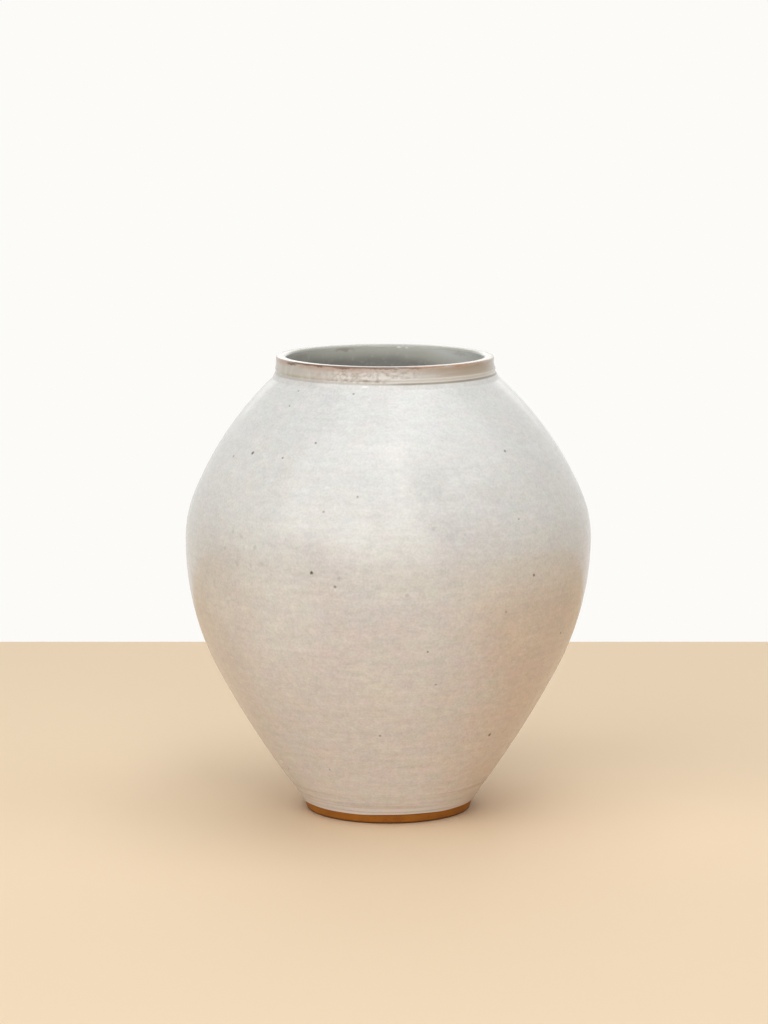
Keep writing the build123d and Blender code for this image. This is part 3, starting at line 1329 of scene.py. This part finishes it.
@dataclass(frozen=True)
class LiningGlaze:
    """The cooler, greyer glaze inside, with painted shade down the mouth, painted light to the right and
    browned in places.

    Heights are counted from the crest of the lip.
    """

    throw: HandThrow
    grey: Colour = (226, 226, 215)
    olive: Colour = (210, 210, 196)
    # Pale glaze, used both for real flecks and as painted light on the right of the mouth
    pale: Colour = (250, 251, 245)
    # Painted shade down the mouth
    deep: Colour = (160, 157, 150)
    brown: Colour = (150, 128, 104)
    front_crown_highlight: Colour = MILKY_GLAZE_AND_HIGHLIGHT
    crown_back: Colour = (184, 183, 171)
    # Colour of the painted glints on the lip at the back
    drop: Colour = (253, 253, 250)
    cloud: Grain = Grain(22.0, 22.0, 3.0)
    streak: Grain = Grain(40.0, 2.2, 3.0)
    fleck: Grain = Grain(2.0, 2.0, 3.0)
    cloud_share: float = 1.2
    streak_share: float = 0.8
    cloud_stray: float = 3.0
    lit_side: Fade = Fade(10.0, 38.0)
    lit_reach: float = 7.0
    shade_fall: Fade = Fade(-2.5, -7.5, 0.9)
    lit_rise: Fade = Fade(-3.5, 1.5, 0.9)
    pale_flecks: Fade = Fade(0.52, 0.80, 0.2)
    stain_ragged: float = 1.0
    back: Fade = Fade(4.0, 20.0)
    back_rise: Fade = Fade(-1.8, -0.6, 0.85)
    front: Fade = Fade(20.0, 4.0)
    front_rise: Fade = Fade(-0.45, -0.15, 0.9)
    glint_ragged: float = 0.2
    roughness: tuple[float, float] = (0.12, 0.24)
    dimple_strength: float = 0.1
    dimple_depth: float = 0.05

    def colour(self, sheet: NodeSheet, fleck: Socket) -> Socket:
        """The colour of the lining.

        Args:
            sheet: The material's nodes.
            fleck: The fine pattern of the lining.

        Returns:
            The colour.
        """
        crest = self.throw.form.jar_height
        cloud = sheet.noise(self.cloud)
        streak = sheet.noise(self.streak)
        streaked = sheet.gather((cloud, self.cloud_share), (streak, self.streak_share))
        raised = sheet.spread(sheet.rightwards(self.lit_side), 0.0, self.lit_reach * MM)
        wander = sheet.plus(sheet.strayed(sheet.height, cloud, self.cloud_stray), raised)
        colour = sheet.blend(streaked, self.grey, self.olive)
        # painted shade down the mouth and painted light to the right, where light falls in from the left
        colour = sheet.blend(sheet.upwards(self.shade_fall, crest, wander), colour, self.deep)
        colour = sheet.blend(sheet.upwards(self.lit_rise, crest, wander), colour, self.pale)
        colour = sheet.blend(sheet.fade(fleck, self.pale_flecks), colour, self.pale)
        stains = sheet.marks(LINING_STAINS, mouth_spots(self.throw, LINING_STAINS), self.stain_ragged)
        colour = sheet.blend(stains, colour, self.brown)
        back = sheet.times(sheet.upwards(self.back_rise, crest), sheet.backwards(self.back))
        colour = sheet.blend(back, colour, self.crown_back)
        # painted highlight on the crown of the lip in front
        front = sheet.times(sheet.upwards(self.front_rise, crest), sheet.backwards(self.front))
        colour = sheet.blend(front, colour, self.front_crown_highlight)
        # painted glints on the inner edge of the lip at the back
        glints = sheet.marks(LINING_GLINTS, mouth_spots(self.throw, LINING_GLINTS), self.glint_ragged)
        return sheet.blend(glints, colour, self.drop)

    def material(self) -> bpy.types.Material:
        """The finished lining.

        Returns:
            Its material.
        """
        sheet = NodeSheet("lining_glaze")
        fleck = sheet.noise(self.fleck)
        return sheet.finish({
            "Base Color": self.colour(sheet, fleck),
            "Roughness": sheet.spread(fleck, *self.roughness),
            "Normal": sheet.dimples(fleck, self.dimple_strength, self.dimple_depth),
        })


@dataclass(frozen=True)
class ToastedClay:
    """Bare stoneware, toasted brown by the fire, with painted shade along the glaze edge and a painted
    contact shadow where it meets the floor.
    """

    form: JarForm
    name: str = "toasted_clay"
    light: Colour = (188, 122, 32)
    dark: Colour = (152, 90, 20)
    dark_grit_and_shade: Colour = (92, 48, 10)
    cloud: Grain = Grain(9.0, 9.0, 4.0, 0.6)
    turned: Grain = Grain(26.0, 0.5, 3.0)
    grit: Grain = Grain(0.8, 0.8, 3.0, 0.65)
    cloud_share: float = 1.6
    turned_share: float = 0.9
    burnt_grit: Fade = Fade(0.58, 0.76, 0.5)
    # Painted shade under the glaze edge, then a painted contact shadow at the floor
    glaze_line: Fade = Fade(-0.8, 0.4, 0.55)
    contact_shadow: Fade = Fade(1.0, 0.3, 0.95)
    roughness: tuple[float, float] = (0.72, 0.95)
    dimple_strength: float = 0.5
    dimple_depth: float = 0.15

    def material(self) -> bpy.types.Material:
        """The finished clay.

        Returns:
            Its material.
        """
        sheet = NodeSheet(self.name)
        grit = sheet.noise(self.grit)
        cloud = sheet.noise(self.cloud)
        turned = sheet.noise(self.turned)
        mixed = sheet.gather((cloud, self.cloud_share), (turned, self.turned_share))
        colour = sheet.blend(mixed, self.light, self.dark)
        colour = sheet.blend(sheet.fade(grit, self.burnt_grit), colour, self.dark_grit_and_shade)
        # painted shade under the glaze edge, and below it the painted contact shadow
        colour = sheet.blend(sheet.upwards(self.glaze_line, self.form.foot_band_height), colour, self.dark_grit_and_shade)
        colour = sheet.blend(sheet.upwards(self.contact_shadow), colour, self.dark_grit_and_shade)
        return sheet.finish({
            "Base Color": colour,
            "Roughness": sheet.spread(grit, *self.roughness),
            "Normal": sheet.dimples(grit, self.dimple_strength, self.dimple_depth),
        })


@dataclass(frozen=True)
class FiredSlip:
    """The thin bed of slip in each joint, paler than the clay."""

    pale: Colour = (186, 140, 90)
    dark: Colour = (158, 108, 60)
    cloud: Grain = Grain(5.0, 5.0, 4.0)
    grit: Grain = Grain(0.6, 0.6)
    cloud_share: float = 2.0
    roughness: tuple[float, float] = (0.75, 0.95)
    dimple_strength: float = 0.3
    dimple_depth: float = 0.1

    def material(self) -> bpy.types.Material:
        """The finished slip.

        Returns:
            Its material.
        """
        sheet = NodeSheet("fired_slip")
        grit = sheet.noise(self.grit)
        cloud = sheet.gather((sheet.noise(self.cloud), self.cloud_share))
        return sheet.finish({
            "Base Color": sheet.blend(cloud, self.pale, self.dark),
            "Roughness": sheet.spread(grit, *self.roughness),
            "Normal": sheet.dimples(grit, self.dimple_strength, self.dimple_depth),
        })


# The pieces of the jar


@dataclass(frozen=True)
class Turned:
    """A piece turned on the wheel, as rows of points round the jar."""

    throw: HandThrow
    steps_round: int = 232

    @property
    def form(self) -> JarForm:
        """The true form of the jar."""
        return self.throw.form

    @property
    def azimuths(self) -> Numbers:
        """The angles of the points in a row, in radians."""
        return np.arange(self.steps_round)[None, :] * (2 * math.pi / self.steps_round)

    def rows(self, line: Outline, depth: Numbers | float = 0.0, slide: Numbers | float = 0.0) -> Numbers:
        """The points of an outline, row by row.

        Args:
            line: The outline.
            depth: How far under it the points lie.
            slide: How far along it they are moved, towards its end.

        Returns:
            Points in millimetres, with X, Y and Z along the last axis.
        """
        radius, height, out, up = (part[:, None] for part in line.points.T)
        radius = radius - out * depth - up * slide
        height = height - up * depth + out * slide
        return self.throw.place(radius, height, self.azimuths)

    def sparse(self, line: Outline, spacing: float = 6.0) -> Outline:
        """An outline with few rows, for a side that is never seen."""
        return line.at(row_places(float(line.along[-1]), spacing, ()))


@dataclass(frozen=True)
class EdgeRun:
    """Where the lower edge of the glaze has stayed short or, with a rise below 0, run down."""

    azimuth: float
    rise: float
    arc: float


@dataclass(frozen=True)
class OuterGlaze(Turned):
    """The coat from the foot over the belly, shoulder and collar to the crest of the lip."""

    row_spacing: float = 0.8
    rings: ThrowingRings = ThrowingRings(seed=11, shortest=2.6, longest=13.0, steepness=0.9)
    trim_rings: ThrowingRings = ThrowingRings(seed=5, shortest=0.9, longest=2.4, steepness=1.6, count=4)
    rings_gap: float = 3.0
    rings_fade: float = 6.0
    trim_height: float = 12.0
    trim_fade: float = 1.2
    trim_depth: float = 0.1
    groove_depth: float = 0.32
    groove_half_width: float = 0.3
    groove_drop: float = 0.45
    waist_depth: float = 0.28
    waist_foot: float = 1.4
    waist_foot_fade: float = 1.0
    waist_top: float = 0.9
    waist_top_fade: float = 1.6
    left_crispness: float = 0.35
    crisp_start: float = -0.5
    crisp_fade: float = 1.2
    edge_rounding: float = 0.7
    edge_share: float = 0.85
    edge_slide_length: float = 7.0
    edge_waves: tuple[Wave, ...] = (Wave(0.06, 7, 1.0), Wave(0.05, 13, 2.5))
    edge_runs: tuple[EdgeRun, ...] = (
        EdgeRun(90.0, 1.1, 16.0),
        EdgeRun(45.0, -0.25, 16.0),
        EdgeRun(-30.0, -0.4, 30.0),
        EdgeRun(150.0, 0.5, 25.0),
        EdgeRun(-140.0, 0.4, 30.0),
    )

    def edge_slide(self, along: Numbers) -> Numbers:
        """How far the glaze near its lower edge is moved up the wall.

        Args:
            along: The distance of each row from the edge.

        Returns:
            A distance for each row and azimuth.
        """
        azimuth = self.azimuths
        slide = sum(wave.at(azimuth) for wave in self.edge_waves)
        for run in self.edge_runs:
            turn = azimuth - math.radians(run.azimuth)
            slide = slide + run.rise * np.exp(2 * (np.cos(turn) - 1) / math.radians(run.arc) ** 2)
        return slide * (1 - ease(along[:, None] / self.edge_slide_length))

    def relief(self, face: Outline, along: Numbers) -> Numbers:
        """How deep the finger rings, trimming, groove, collar waist and rounded lower edge go.

        Args:
            face: The true face, row by row.
            along: The distance of each row from the lower edge.

        Returns:
            A depth for each row and azimuth.
        """
        form = self.form
        groove = form.groove_height
        height = face.points[:, 1][:, None]
        along = along[:, None]
        azimuth = self.azimuths
        wall = ease((groove - self.rings_gap - height) / self.rings_fade)
        trimmed = ease((self.trim_height - height) / self.trim_fade)
        waist = ease((height - groove - self.waist_foot) / self.waist_foot_fade)
        waist = waist * ease((form.jar_height - self.waist_top - height) / self.waist_top_fade)
        rightwards = ease((np.sin(azimuth) - self.crisp_start) / self.crisp_fade)
        crisp = self.left_crispness + (1 - self.left_crispness) * rightwards
        cut = np.exp(-(((height - groove + self.groove_drop) / self.groove_half_width) ** 2))
        short = np.clip(1 - along / self.edge_rounding, 0, 1)
        depth = self.rings.depth(along, azimuth) * wall
        depth = depth + trimmed * (self.trim_depth + self.trim_rings.depth(along, azimuth))
        depth = depth + crisp * (self.waist_depth * waist + self.groove_depth * cut)
        edge = form.glaze_thickness * self.edge_share * (1 - np.sqrt(1 - short**2))
        return np.maximum(depth * (1 - short), edge)

    def build(self) -> bpy.types.Object:
        """The coat as a closed shell.

        Returns:
            The new object.
        """
        face = self.form.outside()
        length = float(face.along[-1])
        collar = face.distance_at(self.form.groove_height)
        fine = (
            FineStretch(middle=0.0, half_width=self.edge_rounding, spacing=0.08),
            FineStretch(middle=collar, half_width=1.4, spacing=0.11),
            FineStretch(middle=length, half_width=2.6, spacing=0.09),
        )
        along = row_places(length, self.row_spacing, fine)
        line = face.at(along)
        front = self.rows(line, self.relief(line, along), self.edge_slide(along))
        back = self.sparse(self.form.outside(self.form.glaze_thickness))
        back_rows = self.rows(back, slide=self.edge_slide(back.along))
        return turned_object("outer_glaze_coat", np.concatenate([front, back_rows[::-1]]))

    def dress(self, piece: bpy.types.Object) -> None:
        """Gives the coat its white glaze."""
        seat(piece, "outer_glaze", WhiteGlaze(self.throw).material())


@dataclass(frozen=True)
class InnerGlaze(Turned):
    """The coat that lines the jar from the crest of the lip to the floor."""

    row_spacing: float = 1.1
    lip_stretch: FineStretch = FineStretch(middle=0.0, half_width=3.2, spacing=0.12)
    rings: ThrowingRings = ThrowingRings(seed=23, shortest=4.0, longest=12.0, steepness=2.2)
    rings_start: float = 4.0
    rings_fade: float = 12.0
    floor_fade: float = 20.0

    def build(self) -> bpy.types.Object:
        """The lining as a closed shell.

        Returns:
            The new object.
        """
        face = self.form.inside()
        along = row_places(float(face.along[-1]), self.row_spacing, (self.lip_stretch,))
        line = face.at(along)
        radius = line.points[:, 0][:, None]
        along = along[:, None]
        thrown = ease((along - self.rings_start) / self.rings_fade) * ease(radius / self.floor_fade)
        front = self.rows(line, self.rings.depth(along, self.azimuths) * thrown)
        back = self.rows(self.sparse(self.form.inside(self.form.glaze_thickness)))
        return turned_object("inner_glaze_coat", np.concatenate([front, back[::-1]]))

    def dress(self, piece: bpy.types.Object) -> None:
        """Gives the coat its lining glaze."""
        seat(piece, "inner_glaze", LiningGlaze(self.throw).material())


@dataclass(frozen=True)
class TrimmedFoot(Turned):
    """The bare foot ring, with the marks of the trimming tool."""

    row_spacing: float = 0.22
    rings: ThrowingRings = ThrowingRings(seed=3, shortest=0.7, longest=2.6, steepness=3.5, count=5)
    toe_fade: float = 0.5
    top_fade: float = 0.6

    def section(self) -> Outline:
        """The ring's half section, from the top of its inner wall round under it to the top outside.

        Returns:
            The line.
        """
        form = self.form
        edge = form.foot_edge_rounding
        inner = form.foot_inner_radius
        top = form.foot_ring_height
        clay = form.outside(form.glaze_thickness).between(form.foot_band_height, top)
        foot = Vector((form.foot_radius, 0.0))
        slope = heading(foot, Vector(clay.points[0, :2]))
        toe = foot + Vector((-edge * math.tan(math.radians(slope / 2)), edge))
        return Outline(np.vstack([
            [[inner, top, -1.0, 0.0]],
            Bend(Vector((inner + edge, edge)), edge, 180, 270).points(0, form.trace_spacing),
            Bend(toe, edge, 270, 270 + slope).points(0, form.trace_spacing),
            clay.points,
        ]))

    def build(self) -> bpy.types.Object:
        """The ring as a closed mesh.

        Returns:
            The new object.
        """
        section = self.section()
        along = row_places(float(section.along[-1]), self.row_spacing, ())
        line = section.at(along)
        height = line.points[:, 1][:, None]
        bare = ease(height / self.toe_fade) * ease((self.form.foot_ring_height - height) / self.top_fade)
        depth = self.rings.depth(along[:, None], self.azimuths) * bare
        return turned_object("trimmed_foot", self.rows(line, depth))

    def dress(self, piece: bpy.types.Object) -> None:
        """Gives the foot its toasted clay."""
        seat(piece, "foot_ring", ToastedClay(self.form).material())


@dataclass(frozen=True)
class LowerBowl(Turned):
    """The lower bowl, keyed at its rim and trimmed in rings underneath."""

    key_depth: float = 1.2
    key_width: float = 2.4
    row_spacing: float = 0.3
    rings: ThrowingRings = ThrowingRings(seed=8, shortest=1.1, longest=3.6, steepness=5.0, count=5)
    middle_fade: float = 2.0
    foot_gap: float = 0.5
    foot_fade: float = 1.5

    def build(self) -> bpy.types.Object:
        """The bowl as a closed mesh.

        Returns:
            The new object.
        """
        form = self.form
        rim = form.belly_height - form.slip_thickness / 2
        wall = form.outside(form.glaze_thickness).between(form.underside_height, rim)
        ends = [[0.0, form.underside_height, 0.0, -1.0], [*wall.points[0, :2], 0.0, -1.0]]
        under = Outline(np.array(ends))
        under = under.at(row_places(float(under.along[-1]), self.row_spacing, ()))
        radius = under.points[:, 0][:, None]
        trimmed = ease(radius / self.middle_fade)
        trimmed = trimmed * ease((form.foot_inner_radius - self.foot_gap - radius) / self.foot_fade)
        middle = form.belly_radius - form.finished_wall / 2
        steps = ((self.key_width / 2, 0.0), (0.0, self.key_depth), (-self.key_width / 2, 0.0))
        key = Outline(np.array([[middle + step, rim - drop, 0.0, 1.0] for step, drop in steps]))
        lining = form.inside(form.glaze_thickness).backwards().up_to(rim).backwards()
        return turned_object("lower_bowl_clay", np.concatenate([
            self.rows(under, self.rings.depth(radius, self.azimuths) * trimmed),
            self.rows(self.sparse(wall)),
            self.rows(key),
            self.rows(self.sparse(lining)),
        ]))

    def dress(self, piece: bpy.types.Object) -> None:
        """Gives the bowl its clay."""
        seat(piece, "lower_bowl", ToastedClay(self.form, name="bowl_clay").material())


@dataclass(frozen=True)
class BuriedClay:
    """The upper bowl, the collar and the beds of slip under the glaze, moved as the thrown jar has them."""

    throw: HandThrow
    clay_nodes: tuple[str, ...] = ("upper_bowl", "neck_collar")
    slip_nodes: tuple[str, ...] = ("foot_slip", "belly_slip", "collar_slip")

    def moved(self, node: str, name: str) -> bpy.types.Object:
        """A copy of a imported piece, moved with the thrown jar.

        Args:
            node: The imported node.
            name: The name of the copy.

        Returns:
            The copy as a new object.
        """
        mesh = frame["nodes"][node].data.copy()
        mesh.name = name
        places = np.empty(len(mesh.vertices) * 3)
        mesh.vertices.foreach_get("co", places)
        x, y, z = places.reshape(-1, 3).T / MM
        moved = self.throw.place(np.hypot(x, y), z, np.arctan2(x, -y)) * MM
        mesh.vertices.foreach_set("co", moved.ravel())
        return finished_object(name, mesh)

    def build_and_dress(self) -> None:
        """Makes every piece and gives it its clay or slip."""
        clay = ToastedClay(self.throw.form, name="upper_clay").material()
        slip = FiredSlip().material()
        for node in self.clay_nodes:
            seat(self.moved(node, f"{node}_clay"), node, clay)
        for node in self.slip_nodes:
            seat(self.moved(node, f"{node}_bed"), node, slip)


# The stage


@dataclass(frozen=True)
class Softbox:
    """A large soft lamp that faces the jar."""

    name: str
    azimuth: float
    elevation: float
    width: float
    height: float
    power: float
    distance: float = 1.7

    def hang(self, aim: Vector) -> None:
        """Hangs the lamp so that it faces a point.

        Args:
            aim: The point, in metres.
        """
        turn = math.radians(self.azimuth)
        rise = math.radians(self.elevation)
        way = Vector((math.sin(turn) * math.cos(rise), -math.cos(turn) * math.cos(rise), math.sin(rise)))
        light = bpy.data.lights.new(self.name, "AREA")
        light.shape = "RECTANGLE"
        light.size = self.width
        light.size_y = self.height
        light.energy = self.power
        lamp = bpy.data.objects.new(self.name, light)
        lamp.location = aim + way * self.distance
        lamp.rotation_euler = (-way).to_track_quat("-Z", "Y").to_euler()
        bpy.context.scene.collection.objects.link(lamp)


@dataclass(frozen=True)
class Stage:
    """Floor, light and camera. Lengths here are in metres."""

    floor_colour: Colour = (250, 225, 191)
    room_colour: Colour = (252, 251, 248)
    light_colour: Colour = (255, 253, 250)
    light_strength: float = 0.05
    floor_roughness: float = 0.7
    floor_half_width: float = 1.5
    floor_front: float = -1.3
    floor_back: float = 0.337
    camera_place: tuple[float, float, float] = (-0.00165, -1.362, 0.3215)
    camera_pitch: float = 8.666
    camera_lens: float = 127.5
    lamps: tuple[Softbox, ...] = (
        Softbox("overhead_softbox", azimuth=0.0, elevation=80.0, width=1.4, height=1.4, power=5.6),
        Softbox("front_strip", azimuth=8.0, elevation=45.0, width=0.45, height=1.3, power=3.6),
        Softbox("left_softbox", azimuth=-40.0, elevation=38.0, width=1.6, height=1.6, power=10.3),
        Softbox("right_softbox", azimuth=75.0, elevation=62.0, width=1.4, height=1.4, power=6.6),
        Softbox("rear_softbox", azimuth=180.0, elevation=60.0, width=1.4, height=1.4, power=6.4),
        Softbox("low_rear_softbox", azimuth=180.0, elevation=26.0, width=1.6, height=1.0, power=2.6),
        Softbox("low_softbox", azimuth=0.0, elevation=15.0, width=1.6, height=1.0, power=4.7),
    )

    def lay_floor(self) -> None:
        """Lays the plain pale floor, which ends behind the jar."""
        half = self.floor_half_width
        corners = [
            (-half, self.floor_front, 0.0),
            (half, self.floor_front, 0.0),
            (half, self.floor_back, 0.0),
            (-half, self.floor_back, 0.0),
        ]
        mesh = bpy.data.meshes.new("floor")
        mesh.from_pydata(corners, [], [(0, 1, 2, 3)])
        floor = bpy.data.objects.new("floor", mesh)
        bpy.context.scene.collection.objects.link(floor)
        sheet = NodeSheet("pale_floor")
        plain = {"Base Color": tint(self.floor_colour), "Roughness": self.floor_roughness}
        mesh.materials.append(sheet.finish(plain))

    def light_room(self) -> None:
        """Fills the room with soft light, and shows it as a pale wall to the camera and to gloss."""
        world = bpy.data.worlds.new("room")
        bpy.context.scene.world = world
        world.use_nodes = True
        nodes = world.node_tree.nodes
        links = world.node_tree.links
        nodes.clear()
        path = nodes.new("ShaderNodeLightPath")
        seen = path.outputs["Is Camera Ray"]
        for ray in ("Is Glossy Ray", "Is Transmission Ray"):
            join = nodes.new("ShaderNodeMath")
            join.operation = "MAXIMUM"
            links.new(seen, join.inputs[0])
            links.new(path.outputs[ray], join.inputs[1])
            seen = join.outputs[0]
        mix = nodes.new("ShaderNodeMixShader")
        links.new(seen, mix.inputs[0])
        shades = ((self.light_colour, self.light_strength), (self.room_colour, 1.0))
        for place, (colour, strength) in enumerate(shades, start=1):
            shade = nodes.new("ShaderNodeBackground")
            shade.inputs["Color"].default_value = tint(colour)
            shade.inputs["Strength"].default_value = strength
            links.new(shade.outputs[0], mix.inputs[place])
        links.new(mix.outputs[0], nodes.new("ShaderNodeOutputWorld").inputs["Surface"])

    def place_camera(self) -> None:
        """Stands the camera where the picture was taken from."""
        camera = bpy.data.objects.new("camera", bpy.data.cameras.new("camera"))
        camera.data.lens = self.camera_lens
        camera.location = self.camera_place
        camera.rotation_euler = (math.radians(90 - self.camera_pitch), 0.0, 0.0)
        bpy.context.scene.collection.objects.link(camera)
        bpy.context.scene.camera = camera

    def build(self) -> None:
        """Sets the whole stage."""
        self.lay_floor()
        self.light_room()
        low, high = CAD_BOX
        for lamp in self.lamps:
            lamp.hang((low + high) / 2)
        self.place_camera()
        bpy.context.scene.view_settings.view_transform = "Standard"


def main() -> None:
    """Builds and dresses the jar, piece by piece, then sets the stage."""
    logging.basicConfig(level=logging.INFO, format="%(name)s: %(message)s")
    throw = HandThrow(JarForm())
    for maker in (TrimmedFoot(throw), LowerBowl(throw), OuterGlaze(throw), InnerGlaze(throw)):
        maker.dress(maker.build())
    BuriedClay(throw).build_and_dress()
    Stage().build()


if __name__ == "__main__":
    main()
